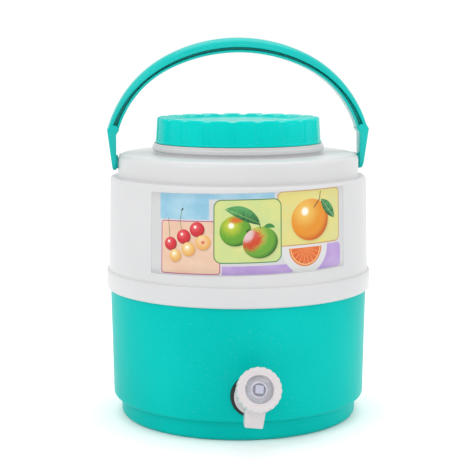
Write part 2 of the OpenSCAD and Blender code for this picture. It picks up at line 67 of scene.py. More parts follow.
lens = bpy.data.cameras.new("studio_camera")
lens.lens = 101.8
lens.sensor_width = 36
lens.clip_end = 20
lens.shift_x = -0.0026
camera = bpy.data.objects.new("studio_camera", lens)
camera.location = (-CAMERA_DISTANCE * math.sin(CAMERA_TURN),
                   -CAMERA_DISTANCE * math.cos(CAMERA_TURN), CAMERA_HEIGHT)
camera.rotation_euler = (math.pi / 2 - CAMERA_PITCH, 0, -CAMERA_TURN)
bpy.context.scene.collection.objects.link(camera)
bpy.context.scene.camera = camera
bpy.context.scene.view_settings.view_transform = "Standard"
print("camera at", [round(c, 3) for c in camera.location])

# %% [markdown]
# ## Shader maths as Python
# A material is a graph of nodes, and long sums are hard to read as boxes and wires. This class wraps
# one socket, so that `1 - mask * 0.4` adds its Math nodes by itself. Any other node is added by
# `node`, which takes the node's type, its settings and what goes into its sockets.

# %% A socket that does arithmetic
class Wire:
    def __init__(self, tree, socket=None):
        self.tree = tree
        self.socket = socket

    def node(self, kind, settings=None, inputs=None, output=0):
        made = self.tree.nodes.new("ShaderNode" + kind)
        for key, value in (settings or {}).items():
            if key == "stops":
                ramp = made.color_ramp.elements
                for _ in range(len(value) - 2):
                    ramp.new(0.5)
                for stop, (place, colour) in zip(ramp, value):
                    stop.position = place
                    stop.color = (*colour, 1)
            else:
                setattr(made, key, value)
        for key, value in (inputs or {}).items():
            if isinstance(value, Wire):
                self.tree.links.new(value.socket, made.inputs[key])
            else:
                made.inputs[key].default_value = value
        return Wire(self.tree, made.outputs[output])

    def math(self, operation, *values):
        return self.node("Math", {"operation": operation}, dict(enumerate(values)))

    def __add__(self, other):
        return self.math("ADD", self, other)

    def __radd__(self, other):
        return self.math("ADD", other, self)

    def __sub__(self, other):
        return self.math("SUBTRACT", self, other)

    def __rsub__(self, other):
        return self.math("SUBTRACT", other, self)

    def __mul__(self, other):
        return self.math("MULTIPLY", self, other)

    def __rmul__(self, other):
        return self.math("MULTIPLY", other, self)

    def __truediv__(self, other):
        return self.math("DIVIDE", self, other)

    def clamp(self):
        return self.node("Clamp", None, {0: self})

    def ramp(self, low, high):
        """0 at low, 1 at high and smooth between."""
        return self.node("MapRange", {"interpolation_type": "SMOOTHSTEP"},
                         {"Value": self, "From Min": low, "From Max": high})

    def part(self, output):
        """X, Y or Z of a vector."""
        return self.node("SeparateXYZ", None, {0: self}, output)

    def tint(self, under, over):
        """The colour under where this mask is 0 and the colour over where it is 1."""
        return self.node("Mix", {"data_type": "RGBA"}, {0: self, 6: under, 7: over}, 2)


def srgb(red, green, blue):
    """A colour as a paint chart gives it, 0 to 255, turned into light."""
    def lit(c):
        c = c / 255
        return c / 12.92 if c <= 0.04045 else ((c + 0.055) / 1.055) ** 2.4
    return (lit(red), lit(green), lit(blue), 1.0)


print("white", [round(c, 3) for c in srgb(226, 226, 226)])

# %% [markdown]
# ## Moulded plastic
# Polypropylene from a polished mould is smooth but never perfect. Its colour drifts a little where
# the melt flowed, its surface has a faint orange-peel ripple, and the mould leaves very fine upright
# drag lines. Three noises give those: one for colour, one for the ripple and a stretched one for the
# lines. Two more add pale specks and duller patches. All read Object coordinates, so they stay with
# the piece when it moves.

# %% The plastic material
def new_material(name):
    material = bpy.data.materials.new(name)
    material.use_nodes = True
    tree = material.node_tree
    return material, tree.nodes["Principled BSDF"], Wire(tree)


def noise(wire, place, scale, detail=2.0, output=0):
    return wire.node("TexNoise", None, {"Vector": place, "Scale": scale, "Detail": detail}, output)


def feed(wire, shader, **inputs):
    """Joins wires to the shader's sockets, named with underscores for spaces."""
    for name, value in inputs.items():
        wire.tree.links.new(value.socket, shader.inputs[name.replace("_", " ")])


def plastic(name, colour, roughness=0.3, drift=0.05, gloss_level=0.5, coat=0.0, ripple=0.05):
    material, shader, wire = new_material(name)
    place = wire.node("TexCoord", None, None, "Object")
    flow = noise(wire, place, 9.0, 3.0)
    deep = tuple(c * (1 - drift) for c in colour[:3]) + (1.0,)
    light = tuple(min(1.0, c * (1 + drift) + drift * 0.02) for c in colour[:3]) + (1.0,)
    base = flow.ramp(0.3, 0.7).tint(deep, light)
    specks = noise(wire, place, 700.0, 1.0).ramp(0.66, 0.72)
    base = (specks * 0.03).tint(base, (0.8, 0.8, 0.8, 1.0))
    stretched = wire.node("Mapping", None, {"Vector": place, "Scale": (420.0, 420.0, 7.0)})
    lines = noise(wire, stretched, 1.0, 2.0)
    peel = noise(wire, place, 260.0, 2.0)
    height = peel * 0.7 + lines * 0.3
    bump = wire.node("Bump", None, {"Strength": ripple, "Distance": 0.0006, "Height": height})
    patches = noise(wire, place, 35.0, 2.0)
    gloss = (patches - 0.5) * 0.12 + (lines - 0.5) * 0.05 + roughness
    feed(wire, shader, Base_Color=base, Roughness=gloss.clamp(), Normal=bump)
    shader.inputs["Specular IOR Level"].default_value = gloss_level
    shader.inputs["Coat Weight"].default_value = coat
    shader.inputs["Coat Roughness"].default_value = 0.12
    return material


teal_shell = plastic("teal_shell_plastic", srgb(0, 178, 170), roughness=0.34, gloss_level=0.03)
white_shell = plastic("white_shell_plastic", srgb(197, 197, 198), roughness=0.34, drift=0.015,
                      gloss_level=0.35)
lid_teal = plastic("lid_teal_plastic", srgb(0, 196, 187), roughness=0.26, gloss_level=0.05)
handle_teal = plastic("handle_teal_plastic", srgb(0, 178, 171), roughness=0.24, gloss_level=0.05,
                      coat=0.35)
tap_white = plastic("tap_white_plastic", srgb(198, 192, 194), roughness=0.3, drift=0.02)
button_white = plastic("button_plastic", srgb(172, 174, 190), roughness=0.25, drift=0.02)
tank_white = plastic("tank_food_plastic", srgb(200, 201, 199), roughness=0.38, drift=0.02)
print("plastics", [m.name for m in (teal_shell, white_shell, lid_teal, handle_teal, tap_white)])

# %% [markdown]
# ## Rubber, silicone and foam
# The tap's washers are matt black rubber with a fine bloom. The diaphragm over the button is clouded
# silicone. The foam in the walls is hidden, but it is there when a wall is cut away, so it gets a
# cell pattern of its own.

# %% Soft materials
def rubber(name, colour, roughness, bloom):
    material, shader, wire = new_material(name)
    place = wire.node("TexCoord", None, None, "Object")
    dust = noise(wire, place, 180.0, 4.0)
    grain = noise(wire, place, 1500.0, 2.0)
    base = dust.ramp(0.45, 0.8).tint(colour, bloom)
    bump = wire.node("Bump", None, {"Strength": 0.12, "Distance": 0.0003, "Height": grain})
    feed(wire, shader, Base_Color=base, Roughness=(dust * 0.2 + roughness).clamp(), Normal=bump)
    return material, shader


black_rubber, _ = rubber("black_rubber", srgb(8, 10, 12), 0.45, srgb(38, 40, 42))
gasket_rubber, _ = rubber("gasket_silicone", srgb(214, 214, 206), 0.4, srgb(226, 226, 220))
silicone, shader = rubber("diaphragm_silicone", srgb(186, 185, 193), 0.3, srgb(210, 208, 213))
shader.inputs["Subsurface Weight"].default_value = 0.25
shader.inputs["Subsurface Scale"].default_value = 0.003

foam, shader, wire = new_material("poured_foam")
place = wire.node("TexCoord", None, None, "Object")
cells = wire.node("TexVoronoi", None, {"Vector": place, "Scale": 420.0})
crust = noise(wire, place, 30.0, 3.0)
bump = wire.node("Bump", None, {"Strength": 0.5, "Distance": 0.0008, "Height": cells})
feed(wire, shader, Base_Color=crust.tint(srgb(222, 205, 160), srgb(240, 230, 200)),
     Roughness=(crust * 0.15 + 0.8).clamp(), Normal=bump)
print("soft materials made")

# %% [markdown]
# ## Floor and light
# The floor takes the jug's soft contact shadow, and nothing else in the room is seen. The white sky
# does most of the lighting. A broad panel at the upper left shapes the drum, a smaller one at the
# right lifts its far edge, and one overhead draws the shadow under the foot.

# %% Floor, sky and panels
FLOOR_HALF = 12
FLOOR_GLOW = 0.06
SKY_STRENGTH = 1.0

floor_mesh = bpy.data.meshes.new("studio_floor")
bm = bmesh.new()
bmesh.ops.create_grid(bm, x_segments=8, y_segments=8, size=FLOOR_HALF)
bm.to_mesh(floor_mesh)
bm.free()
floor = bpy.data.objects.new("studio_floor", floor_mesh)
bpy.context.scene.collection.objects.link(floor)
paper, shader, wire = new_material("studio_paper")
place = wire.node("TexCoord", None, None, "Object")
fibre = noise(wire, place, 60.0, 3.0)
feed(wire, shader, Base_Color=fibre.tint(srgb(251, 252, 252), srgb(254, 254, 254)))
shader.inputs["Emission Color"].default_value = (1, 1, 1, 1)
shader.inputs["Emission Strength"].default_value = FLOOR_GLOW
shader.inputs["Roughness"].default_value = 0.9
shader.inputs["Specular IOR Level"].default_value = 0.1
floor_mesh.materials.append(paper)

sky = bpy.data.worlds.new("white_sky")
sky.use_nodes = True
backdrop = sky.node_tree.nodes["Background"]
backdrop.inputs["Color"].default_value = (1, 1, 1, 1)
backdrop.inputs["Strength"].default_value = SKY_STRENGTH
bpy.context.scene.world = sky


def panel(name, place, target, width, height, watts):
    light = bpy.data.lights.new(name, "AREA")
    light.shape = "RECTANGLE"
    light.size = width
    light.size_y = height
    light.energy = watts
    lamp = bpy.data.objects.new(name, light)
    lamp.location = place
    lamp.rotation_euler = (Vector(target) - Vector(place)).to_track_quat("-Z", "Y").to_euler()
    bpy.context.scene.collection.objects.link(lamp)


panel("left_panel", (-1.7, -1.5, 1.7), (0, 0, 0.17), 1.4, 1.4, 14)
panel("right_panel", (1.9, -0.9, 1.1), (0, 0, 0.2), 0.8, 1.4, 6)
panel("top_panel", (0.1, 0.4, 2.2), (0, 0, 0.25), 1.8, 1.8, 17)

# %% [markdown]
# ## Turned pieces
# Shells, the lid and the tap's rings are all round, so each is an outline spun about an axis, as on a
# lathe. The outline is a loop of corners, each with its own rounding. Bevelling the corners first and
# spinning afterwards keeps every edge of the finished piece evenly rounded.

# %% Spin an outline
def outline_mesh(outline, closed=True):
    """A bmesh with the outline's edges. Each corner is (radius, height, rounding) in millimetres."""
    bm = bmesh.new()
    corners = [bm.verts.new((r * MM, 0, z * MM)) for r, z, _ in outline]
    follow = corners[1:] + corners[:1] if closed else corners[1:]
    for a, b in zip(corners, follow):
        bm.edges.new((a, b))
    for rounding in sorted({f for *_, f in outline if f}):
        chosen = [v for v, (*_, f) in zip(corners, outline) if f == rounding]
        bmesh.ops.bevel(bm, geom=chosen, offset=rounding * MM, offset_type="OFFSET", segments=4,
                        profile=0.5, affect="VERTICES", material=-1)
    return bm


def spin_outline(bm, steps):
    bmesh.ops.spin(bm, geom=bm.verts[:] + bm.edges[:], cent=(0, 0, 0), axis=(0, 0, 1),
                   dvec=(0, 0, 0), angle=2 * math.pi, steps=steps, use_merge=True,
                   use_normal_flip=False, use_duplicate=False)
    bmesh.ops.remove_doubles(bm, verts=bm.verts, dist=1e-6)
    bmesh.ops.recalc_face_normals(bm, faces=bm.faces)


def round_edges(bm, edges, rounding, segments):
    bmesh.ops.bevel(bm, geom=edges, offset=rounding * MM, offset_type="OFFSET",
                    segments=segments, profile=0.5, affect="EDGES", material=-1)


def piece(name, bm, material, body, replaced=(), smooth=35):
    """Turns a bmesh into a finished piece that rides on a body."""
    mesh = bpy.data.meshes.new(name)
    for face in bm.faces:
        face.smooth = True
    bm.to_mesh(mesh)
    bm.free()
    mesh.set_sharp_from_angle(angle=math.radians(smooth))
    mesh.materials.append(material)
    made = bpy.data.objects.new(name, mesh)
    bpy.context.scene.collection.objects.link(made)
    if body:
        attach(made, body)
    if replaced:
        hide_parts(*replaced)
    return made


def shape(made, operation, tools, smooth=35):
    """Cuts or joins tool meshes into a piece, and clears the tools away."""
    for tool in tools:
        change = made.modifiers.new("shape", "BOOLEAN")
        change.operation = operation
        change.solver = "EXACT"
        change.object = tool
    bpy.context.view_layer.update()
    done = bpy.data.meshes.new_from_object(
        made.evaluated_get(bpy.context.evaluated_depsgraph_get()))
    made.modifiers.clear()
    made.data = done
    bm = bmesh.new()
    bm.from_mesh(done)
    bmesh.ops.remove_doubles(bm, verts=bm.verts, dist=2e-6)
    bmesh.ops.dissolve_degenerate(bm, dist=2e-6, edges=bm.edges)
    bm.to_mesh(done)
    bm.free()
    done.set_sharp_from_angle(angle=math.radians(smooth))
    for tool in tools:
        bpy.data.objects.remove(tool)


def rod(name, radius, start, end, frame_matrix, segments=64):
    """A plain tool: a cylinder along the frame's Z from start to end, in millimetres."""
    bm = bmesh.new()
    middle = Matrix.Translation((0, 0, (start + end) / 2 * MM))
    bmesh.ops.create_cone(bm, cap_ends=True, cap_tris=False, segments=segments,
                          radius1=radius * MM, radius2=radius * MM, depth=(end - start) * MM,
                          matrix=frame_matrix @ middle)
    return piece(name, bm, teal_shell, None)


print("turning tools ready")

# %% [markdown]
# ## The tap's frames
# The tap goes through the wall near the floor and is turned 6 degrees to one side. Its barrel then
# rises by 22.4 degrees so that the button faces the user. Two matrices carry any shape from its own
# upright drawing to the tap: one along the shank and one along the barrel.

# %% Frames of the shank and the barrel
TAP_HEIGHT = 46
TAP_ROLL = math.radians(6)
TAP_RISE = math.radians(22.4)
SEAL_RADIUS = 20
SEAL_SEAT = 124.74
SEAL_FACE = 128.14
SHANK_RADIUS = 8.0

shank = Matrix.Translation((0, 0, TAP_HEIGHT * MM)) @ Matrix.Rotation(TAP_ROLL, 4, "Y")
shank_out = shank @ Matrix.Rotation(math.pi / 2, 4, "X")
barrel = (shank @ Matrix.Translation((0, -SEAL_FACE * MM, 0))
          @ Matrix.Rotation(math.pi / 2 - TAP_RISE, 4, "X"))
print("barrel points", [round(c, 3) for c in barrel.col[2][:3]])

# %% [markdown]
# ## The lower shell
# The teal half is one moulding with a thin wall: a foot that is set in, a soft step above it, and a
# side that flares by about 2 mm so that it leaves the mould. The outline goes up the outside and
# down the inside, so the wall has a real thickness. A flat seat is then cut for the tap's washer.

# %% Lower shell
WALL = 2.6
BODY_RADIUS = 128.6
SIDE_FOOT = 126.4
FOOT_RADIUS = 118.7
FOOT_TOP = 19.7
RECESS_RADIUS = 100
RECESS = 4
JOINT = 129
SPIGOT_TOP = 144

lower_outline = [
    (0, RECESS, 0), (RECESS_RADIUS, RECESS, 1.0), (RECESS_RADIUS, 0, 1.5), (FOOT_RADIUS, 0, 5.0),
    (FOOT_RADIUS, FOOT_TOP, 0.9), (SIDE_FOOT, FOOT_TOP, 3.5), (BODY_RADIUS, JOINT, 0.2),
    (BODY_RADIUS, SPIGOT_TOP, 0.5), (BODY_RADIUS - WALL, SPIGOT_TOP, 0.5),
    (BODY_RADIUS - WALL, JOINT, 1.0), (SIDE_FOOT - WALL, FOOT_TOP + WALL, 2.0),
    (FOOT_RADIUS - WALL, FOOT_TOP + WALL, 1.0), (FOOT_RADIUS - WALL, WALL, 4.0),
    (RECESS_RADIUS + WALL, WALL, 1.0), (RECESS_RADIUS + WALL, RECESS + WALL, 1.5),
    (0, RECESS + WALL, 0)]
bm = outline_mesh(lower_outline, closed=False)
spin_outline(bm, 240)
lower = piece("lower_shell_moulding", bm, teal_shell, "jug", ["lower_shell"])
shape(lower, "DIFFERENCE", [
    rod("washer_seat", SEAL_RADIUS + 0.4, SEAL_SEAT, SEAL_SEAT + 12, shank_out, 96),
    rod("shank_hole", SHANK_RADIUS + 0.2, SEAL_SEAT - 12, SEAL_SEAT + 12, shank_out)])
shape(lower, "DIFFERENCE", [rod("plug_hole", 9, 3, 8, Matrix.Identity(4))])
print("lower shell", len(lower.data.polygons), "faces")

# %% [markdown]
# ## The upper shell
# The white half carries the band that hides the joint, a straight side, a ledge, the shoulder and the
# low neck. Its corners are the most looked-at edges of the jug, and each has its own rounding: 2.6 mm
# under the band, 3.4 mm at the ledge and 6 mm at the shoulder.

# %% Upper shell
BAND_RADIUS = 132.2
BAND_TOP = 148.5
LEDGE = 241
SHOULDER_RADIUS = 119.8
NECK_RADIUS = 83.2
LIP_RADIUS = 85.5
LIP_BOTTOM, LIP_TOP = 266, 271
MOUTH_EDGE = 77.4

upper_outline = [
    (128.8, JOINT, 0.6), (BAND_RADIUS, JOINT, 2.6), (BAND_RADIUS, BAND_TOP, 2.3),
    (129.9, BAND_TOP, 0.7), (127.7, 237.5, 0), (127.7, LEDGE, 3.4), (SHOULDER_RADIUS, LEDGE, 1.2),
    (SHOULDER_RADIUS, 263, 6.0), (84.6, 263.4, 0.9), (NECK_RADIUS, 264.6, 0.5),
    (NECK_RADIUS, LIP_BOTTOM, 0.6), (LIP_RADIUS, LIP_BOTTOM, 1.6), (LIP_RADIUS, LIP_TOP, 1.0),
    (MOUTH_EDGE, LIP_TOP, 0.4), (MOUTH_EDGE, 260.4, 1.5), (117.2, 260.4, 4.0),
    (117.2, 238.4, 1.0), (125.1, 238.4, 2.0), (127.3, BAND_TOP, 0.5), (127.3, 146, 0.4),
    (128.8, 144.5, 0.4)]
bm = outline_mesh(upper_outline)
spin_outline(bm, 240)
upper = piece("upper_shell_moulding", bm, white_shell, "jug", ["upper_shell"])

PIVOT_HEIGHT = 254.8
PEG_RADIUS = 4.05
sideways = Matrix.Translation((0, 0, PIVOT_HEIGHT * MM)) @ Matrix.Rotation(math.pi / 2, 4, "Y")
shape(upper, "UNION", [rod("boss", 8.05, sign * 114.0 - 4.6, sign * 114.0 + 4.6, sideways)
                       for sign in (-1, 1)])
shape(upper, "DIFFERENCE", [rod("peg_hole", PEG_RADIUS + 0.05, sign * 117 - 6, sign * 117 + 6,
                                sideways) for sign in (-1, 1)])
print("upper shell", len(upper.data.polygons), "faces")

# %% [markdown]
# ## The screw lid
# The lid is turned first and shaped afterwards. Twenty shallow strips run up its side for grip, and
# each carries on over the rim as a dip, so that the top looks like a ring of petals. Both are made by
# moving the spun vertices: how far depends only on the angle to the nearest strip.

# %% Lid
PANELS = 20
STRIP_TURN = math.radians(8.2)
STRIP_HALF = math.radians(2.65)
STRIP_DEPTH = 0.75
PETAL_DEPTH = 1.3
PETAL_HALF = 5.6
LID_BOTTOM = 273.7
LID_TOP = 298.5
SIDE_INNER = 79.0
STRIP_FOOT = 276.25
DISH_EDGE = 58.4
PETAL_FOOT = 296.4

lid_outline = [
    (77.6, LID_BOTTOM, 0.4), (82.7, LID_BOTTOM, 0.5), (82.7, 275.6, 0.5), (82.05, 276.2, 0.15),
    (81.6, 284.0, 0), (81.1, 292.0, 0), (80.7, LID_TOP, 1.6), (76.0, LID_TOP, 0), (70.0, LID_TOP, 0),
    (64.0, LID_TOP, 0), (61.2, LID_TOP, 1.2), (58.5, 295.5, 1.4), (0, 295.5, 0), (0, 293.0, 0),
    (77.6, 293.0, 1.5)]
bm = outline_mesh(lid_outline)
bmesh.ops.delete(bm, geom=[e for e in bm.edges if all(v.co.x < 1e-9 for v in e.verts)],
                 context="EDGES")
spin_outline(bm, PANELS * 30)
pitch = 2 * math.pi / PANELS
for v in bm.verts:
    radius = math.hypot(v.co.x, v.co.y)
    if radius < DISH_EDGE * MM or v.co.z < STRIP_FOOT * MM:
        continue
    angle = math.atan2(v.co.y, v.co.x) - STRIP_TURN
    away = abs((angle + pitch / 2) % pitch - pitch / 2)
    if radius > SIDE_INNER * MM:
        depth = STRIP_DEPTH * min(1.0, max(0.0, (STRIP_HALF - away) / math.radians(0.7)))
        inward = 1 - depth * MM / radius
        v.co.x *= inward
        v.co.y *= inward
    if v.co.z > PETAL_FOOT * MM:
        across = away * radius / MM / PETAL_HALF
        rise = (min(1.0, (v.co.z / MM - PETAL_FOOT) / 1.6)
                * min(1.0, (radius / MM - DISH_EDGE) / 4.0))
        v.co.z -= PETAL_DEPTH * max(0.0, 1 - across * across) * rise * MM
lid = piece("screw_lid_moulding", bm, lid_teal, "lid", ["lid_cap"], smooth=28)
print("lid", len(lid.data.polygons), "faces")

# %% [markdown]
# ## The lid's thread
# A ridge with sloping sides winds round the inside of the skirt, 12 mm for each turn. Spinning a
# small four-sided outline while it climbs gives the ridge, and filling the two ends closes it.

# %% Lid thread
LEAD = 12.0
THREAD_START = math.radians(110)
THREAD_SWEEP = math.radians(290)
THREAD_STEPS = 72
THREAD_FOOT = 273.3

ridge_height = THREAD_FOOT + LEAD * THREAD_START / (2 * math.pi)
bm = bmesh.new()
loop = [bm.verts.new((r * MM, 0, (ridge_height + z) * MM))
        for r, z in ((77.9, -1.8), (75.4, -1.0), (75.4, 1.0), (77.9, 1.8))]
for a, b in zip(loop, loop[1:] + loop[:1]):
    bm.edges.new((a, b))
bmesh.ops.rotate(bm, cent=(0, 0, 0), matrix=Matrix.Rotation(THREAD_START, 3, "Z"), verts=bm.verts)
climb = LEAD * MM * THREAD_SWEEP / (2 * math.pi) / THREAD_STEPS
bmesh.ops.spin(bm, geom=bm.verts[:] + bm.edges[:], cent=(0, 0, 0), axis=(0, 0, 1),
               dvec=(0, 0, climb), angle=THREAD_SWEEP, steps=THREAD_STEPS, use_merge=False,
               use_normal_flip=False, use_duplicate=False)
bmesh.ops.holes_fill(bm, edges=[e for e in bm.edges if len(e.link_faces) == 1], sides=4)
bmesh.ops.recalc_face_normals(bm, faces=bm.faces)
thread = piece("lid_thread_ridge", bm, lid_teal, "lid")
print("thread", len(thread.data.polygons), "faces")

# %% [markdown]
# ## The bail handle
# The handle is an arch with an I-shaped section: a domed crown on top, then two flanges with a deep
# groove between them on both faces. The crown is thick at the top, where the hand pulls, and thins
# towards the bends. The arch is drawn as two arcs on each side, a wide one over the top and a tighter
# one down to the bend, and the section is carried along it ring by ring.

# %% The rails of the arch
APEX = 376.8
BEND_X = 130.1
BEND_Z = 286.8
BEND_THICK = 11.4
CROWN = 6.8
SPLIT = math.radians(26.4)
FLANGE_IN, GROOVE, FLANGE_OUT = 2.5, 2.5, 2.8
ARCH_RADIUS = (BEND_X ** 2 + (APEX - BEND_Z) ** 2) / (2 * (APEX - BEND_Z)) * 1.118


def rail(top, radius, end_x, end_z, u):
    """A point of the arch: u is 0 at the top, 1 where the arcs meet and 2 at the foot."""
    h = end_z - top + radius
    tight = (radius ** 2 - end_x ** 2 - h ** 2) / (
        2 * (radius - end_x * math.sin(SPLIT) - h * math.cos(SPLIT)))
    side, v = math.copysign(1, u), abs(u)
    if v <= 1:
        return Vector((side * radius * math.sin(SPLIT * v), 0,
                       top - radius + radius * math.cos(SPLIT * v)))
    centre_x, centre_z = tight * math.sin(SPLIT), top - radius + tight * math.cos(SPLIT)
    last = math.asin((end_z - centre_z) / (radius - tight))
    angle = math.pi / 2 - SPLIT - (math.pi / 2 - SPLIT - last) * (v - 1)
    return Vector((side * (centre_x + (radius - tight) * math.cos(angle)), 0,
                   centre_z + (radius - tight) * math.sin(angle)))


def rails(u):
    """Points of the inner face, the outer flange and the crown at u, in millimetres."""
    flange_top = APEX - CROWN
    return (rail(flange_top - FLANGE_OUT - GROOVE - FLANGE_IN, ARCH_RADIUS - 0.6,
                 BEND_X - BEND_THICK, BEND_Z + 1, u),
            rail(flange_top, ARCH_RADIUS + 2.4, BEND_X - 1.6, BEND_Z, u),
            rail(APEX, ARCH_RADIUS, BEND_X + 0.2, BEND_Z, u))


print("arch", [tuple(round(c, 1) for c in rails(u)[2]) for u in (0, 1, 2)])

# %% [markdown]
# The section is drawn once, as half of itself and its mirror image. Each ring of it is then laid
# across the arch. The two flanges keep their thickness, and the groove and the crown take up the
# rest.

# %% The strap
STRAP_WIDTH = 24
STRAP_WIDTH_AT_BEND = 21
WEB = 1.5
FLANGE_TOP = FLANGE_IN + GROOVE + FLANGE_OUT
half = [(0, 10.5, 0.7), (FLANGE_IN - 0.15, 10.5, 0.6), (FLANGE_IN, WEB, 0.4),
        (FLANGE_IN + GROOVE, WEB, 0.4), (FLANGE_IN + GROOVE + 0.2, 12, 0.5),
        (FLANGE_TOP - 0.1, 12, 0.5), (FLANGE_TOP, 11.2, 0.2)]
crown = [(FLANGE_TOP + CROWN * math.sin(a), 11.2 * math.cos(a), 0)
         for a in (math.radians(10 * i) for i in range(1, 9))]
half = half + crown
section = half + [(FLANGE_TOP + CROWN, 0, 0)] + [(d, -y, f) for d, y, f in reversed(half)]

bm = outline_mesh(section)
ring = list(bm.verts)
drawn = [(v.co.x / MM, v.co.z / MM) for v in ring]


def lay_ring(ring, u):
    """Moves one ring of the section to its place on the arch."""
    inner, flange, top = rails(u)
    out = (top - inner).normalized()
    flange_at, crown_at = (flange - inner).length, (top - inner).length
    width = (STRAP_WIDTH - (STRAP_WIDTH - STRAP_WIDTH_AT_BEND) * u * u / 4) / STRAP_WIDTH
    middle = FLANGE_IN + GROOVE / 2
    for v, (depth, across) in zip(ring, drawn):
        if depth > FLANGE_TOP:
            depth = flange_at + (depth - FLANGE_TOP) * (crown_at - flange_at) / CROWN
        elif depth > middle:
            depth += flange_at - FLANGE_TOP
        place = inner + out * depth
        v.co = Vector((place.x, across * width, place.z)) * MM


RINGS = 96
lay_ring(ring, -2)
edges = list(bm.edges)
for step in range(1, RINGS + 1):
    grown = bmesh.ops.extrude_edge_only(bm, edges=edges)["geom"]
    new = [g for g in grown if isinstance(g, bmesh.types.BMVert)]
    below = {v: next(e.other_vert(v) for e in v.link_edges if e.other_vert(v) not in new)
             for v in new}
    order = {v: i for i, v in enumerate(ring)}
    ring = sorted(new, key=lambda v: order[below[v]])
    lay_ring(ring, -2 + 4 * step / RINGS)
    edges = [g for g in grown if isinstance(g, bmesh.types.BMEdge)
             and all(v in below for v in g.verts)]
for loop in ([e for e in bm.edges if len(e.link_faces) == 1 and e.verts[0].co.x < 0],
             [e for e in bm.edges if len(e.link_faces) == 1 and e.verts[0].co.x > 0]):
    bmesh.ops.contextual_create(bm, geom=loop)
bmesh.ops.recalc_face_normals(bm, faces=bm.faces)
strap = piece("handle_arch", bm, handle_teal, "handle", ["handle"], smooth=30)
print("strap", len(strap.data.polygons), "faces")

# %% [markdown]
# ## The handle's legs
# Below each bend a flat leg runs down to its peg. Its end is round, so that it can turn about the
# peg, and the block at its top closes the groove. It starts as its outline seen from the side, is
# pulled to its thickness, and its two faces are then sloped between the bend and the foot.

# %% Legs and pegs
FOOT_IN = 121.3
FOOT_OUT = 125.9
LEG_HALF = 8.3
PAD_RISE = 4.4
FOOT_TIP = PIVOT_HEIGHT - LEG_HALF
FOOT_FULL = FOOT_TIP + 4
SHOULDER = (6.8, 119.9, 122.3)
PEG = (PEG_RADIUS, 111.5, 122.3)
BURY = 0.35


def between(z, low, high, at_low, at_high):
    """A value that goes from at_low to at_high while z goes from low to high."""
    t = min(1.0, max(0.0, (z - low) / (high - low)))
    return at_low + (at_high - at_low) * t


def leg_mesh(side):
    """The leg on one side: -1 is left and 1 is right."""
    bm = bmesh.new()
    disc = bmesh.ops.create_circle(bm, cap_ends=False, segments=40, radius=LEG_HALF * MM)["verts"]
    bmesh.ops.rotate(bm, verts=disc, cent=(0, 0, 0), matrix=Matrix.Rotation(math.pi / 2, 3, "Y"))
    for v in disc:
        v.co.z += PIVOT_HEIGHT * MM
    bmesh.ops.delete(bm, geom=[v for v in disc if v.co.z > (PIVOT_HEIGHT + 0.01) * MM],
                     context="VERTS")
    ends = sorted((v for v in bm.verts if len(v.link_edges) == 1), key=lambda v: v.co.y)
    bend_half = STRAP_WIDTH_AT_BEND / 2
    upper_corners = [(-bend_half - BURY, BEND_Z), (0.2 - bend_half, BEND_Z + PAD_RISE),
                     (bend_half - 0.2, BEND_Z + PAD_RISE), (bend_half + BURY, BEND_Z)]
    path = [ends[0]] + [bm.verts.new((0, y * MM, z * MM)) for y, z in upper_corners] + [ends[1]]
    for a, b in zip(path, path[1:]):
        bm.edges.new((a, b))
    face = bmesh.ops.contextual_create(bm, geom=bm.edges[:])["faces"]
    pulled = bmesh.ops.extrude_face_region(bm, geom=face, use_keep_orig=True)["geom"]
    outer = {g for g in pulled if isinstance(g, bmesh.types.BMVert)}
    bmesh.ops.translate(bm, verts=list(outer), vec=(1 * MM, 0, 0))
    for z in (PIVOT_HEIGHT - 4, PIVOT_HEIGHT + 14, BEND_Z - 5, BEND_Z):
        bmesh.ops.bisect_plane(bm, geom=bm.verts[:] + bm.edges[:] + bm.faces[:], dist=1e-6,
                               plane_co=(0, 0, z * MM), plane_no=(0, 0, 1))
    for v in bm.verts:
        z = v.co.z / MM
        if v.co.x > 0.5 * MM:
            x = between(z, FOOT_TIP, FOOT_FULL, FOOT_OUT - 0.8, FOOT_OUT)
            x += between(z, FOOT_FULL, BEND_Z, 0, BEND_X + BURY - FOOT_OUT)
            x -= between(z, BEND_Z, BEND_Z + PAD_RISE, 0, 2.6)
        else:
            x = between(z, BEND_Z - 5, BEND_Z, FOOT_IN + 0.3, BEND_X - BEND_THICK - BURY)
            x += between(z, BEND_Z, BEND_Z + PAD_RISE, 0, 3.4)
        v.co.x = x * MM
    bmesh.ops.remove_doubles(bm, verts=bm.verts, dist=1e-6)
    bmesh.ops.recalc_face_normals(bm, faces=bm.faces)
    sharp = [e for e in bm.edges if len(e.link_faces) == 2
             and e.calc_face_angle(0) > math.radians(50)]
    round_edges(bm, sharp, 0.6, 3)
    for radius, start, end in (SHOULDER, PEG):
        bmesh.ops.create_cone(bm, cap_ends=True, cap_tris=False, segments=48,
                              radius1=radius * MM, radius2=radius * MM, depth=(end - start) * MM,
                              matrix=sideways @ Matrix.Translation((0, 0, (start + end) / 2 * MM)))
    if side < 0:
        bmesh.ops.scale(bm, vec=(-1, 1, 1), verts=bm.verts)
        bmesh.ops.reverse_faces(bm, faces=bm.faces)
    return bm


for side, name in ((-1, "handle_leg_left"), (1, "handle_leg_right")):
    leg = piece(name, leg_mesh(side), handle_teal, "handle", smooth=30)
    print(name, len(leg.data.polygons), "faces")

# %% [markdown]
# ## The tap
# The tap is a push-button valve. A black washer seals it to the wall, a white body carries the barrel
# and the spout, and a ring nut with small scallops for the fingers holds the silicone diaphragm over
# the button. The barrel, the nut and the diaphragm are turned in the barrel's frame, and the spout is
# a block that narrows downwards.

